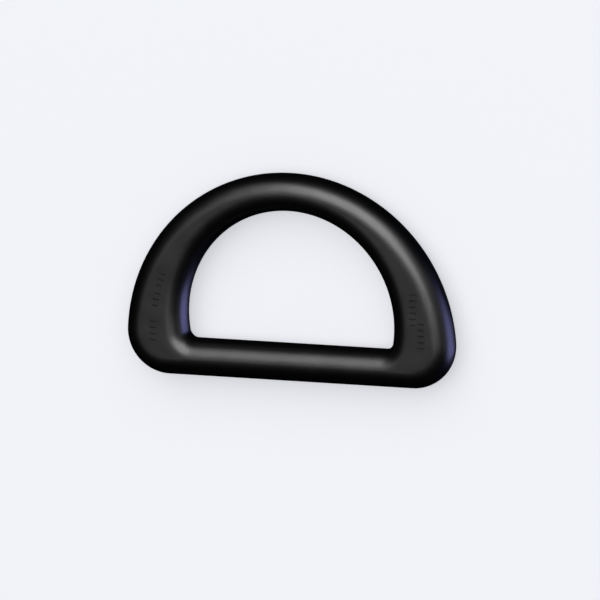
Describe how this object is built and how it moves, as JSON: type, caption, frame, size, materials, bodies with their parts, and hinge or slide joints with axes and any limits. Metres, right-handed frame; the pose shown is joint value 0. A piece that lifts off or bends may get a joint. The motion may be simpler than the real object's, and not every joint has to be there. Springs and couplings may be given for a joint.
{
  "type": "d ring",
  "caption": "Moulded plastic D ring with a straight bar, a round arch and flat widened sides, for joining webbing to a hook, cord or strap.",
  "frame": {"origin": "on the surface that the ring rests on, under the middle of its outline", "axes": "+X along the straight bar, +Y from the bar to the crown of the arch, +Z out of the front face, up from the surface it rests on"},
  "size_m": [0.0392, 0.0238, 0.0044],
  "materials": {
    "black_acetal": "black moulded acetal, satin, with a fine even grain"
  },
  "bodies": {
    "root": {"d_ring": "black_acetal"}
  },
  "joints": []
}
